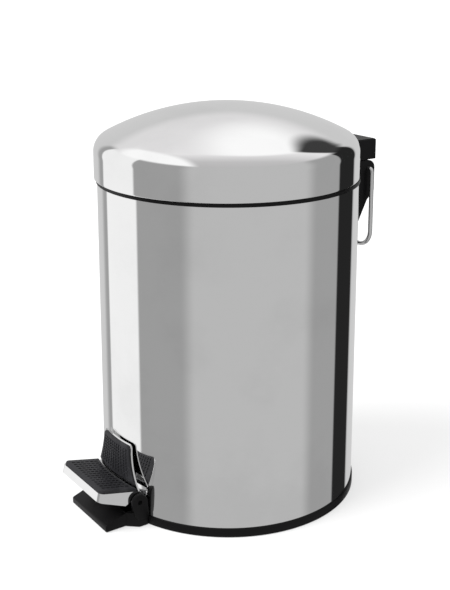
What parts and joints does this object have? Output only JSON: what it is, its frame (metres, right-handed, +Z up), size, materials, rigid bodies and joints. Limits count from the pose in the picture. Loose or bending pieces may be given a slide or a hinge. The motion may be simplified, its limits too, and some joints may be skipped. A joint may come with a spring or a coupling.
{
  "type": "pedal trash can",
  "caption": "Round pedal bin: polished steel shell and domed lid on a rear hinge, black plastic base and rim, lift-out bucket, and a foot pedal that opens the lid by a lever and push rod.",
  "frame": {"origin": "centre of the resting plane under the base, on the shell's axis", "axes": "+Z up along the shell's axis, -Y towards the pedal, +Y towards the lid hinge"},
  "size_m": [0.17, 0.2211, 0.2566],
  "materials": {
    "polished_steel": "mirror-polished stainless steel",
    "black_plastic": "fine-textured moulding",
    "soft_rubber": "matt, ribbed",
    "bucket_plastic": "satin moulding",
    "steel_wire": "drawn wire",
    "plain_steel": "zinc-plated pressings"
  },
  "bodies": {
    "bin_body": {"outer_shell": "polished_steel", "base_moulding": "black_plastic", "anti_slip_pads": "soft_rubber", "rim_ring": "black_plastic", "inner_bucket": "bucket_plastic", "hinge_bracket": "black_plastic", "hinge_pin": "plain_steel", "bracket_backplate": "plain_steel", "bracket_screws": "plain_steel", "pedal_pin": "plain_steel"},
    "lid": {"lid_dome": "polished_steel", "lid_liner_ring": "black_plastic", "lid_screws": "plain_steel", "lid_hinge_cap": "black_plastic", "crank_rivet": "plain_steel", "lid_crank": "plain_steel"},
    "rod": {"push_rod": "steel_wire", "rod_clips": "plain_steel"},
    "pedal": {"pedal_plate": "polished_steel", "tread_pad": "soft_rubber", "guard_pad": "soft_rubber", "pedal_lever": "plain_steel", "lever_rivets": "plain_steel"},
    "bail": {"wire_bail": "steel_wire"},
    "handle": {"bucket_handle": "steel_wire"}
  },
  "joints": [
    {"name": "lid_hinge", "type": "hinge", "parent": "bin_body", "child": "lid", "pos_m": [0, 0.102, 0.206], "axis": [-1, 0, 0], "range_deg": [0, 75]},
    {"name": "rod_pivot", "type": "hinge", "parent": "lid", "child": "rod", "pos_m": [0, 0.07979, 0.18896], "axis": [1, 0, 0], "range_deg": [0, 75]},
    {"name": "pedal_hinge", "type": "hinge", "parent": "bin_body", "child": "pedal", "pos_m": [0, -0.086, 0.017], "axis": [1, 0, 0], "range_deg": [0, 12.32]},
    {"name": "bail_swing", "type": "hinge", "parent": "bin_body", "child": "bail", "pos_m": [0, 0.102, 0.206], "axis": [1, 0, 0], "range_deg": [-12, 200]},
    {"name": "handle_swing", "type": "hinge", "parent": "bin_body", "child": "handle", "pos_m": [0, 0, 0.2072], "axis": [-1, 0, 0], "range_deg": [0, 25]}
  ],
  "couplings": [
    {"joint": "rod_pivot", "follows": "lid_hinge", "ratio": 1},
    {"joint": "pedal_hinge", "follows": "lid_hinge", "ratio": 0.16404}
  ]
}
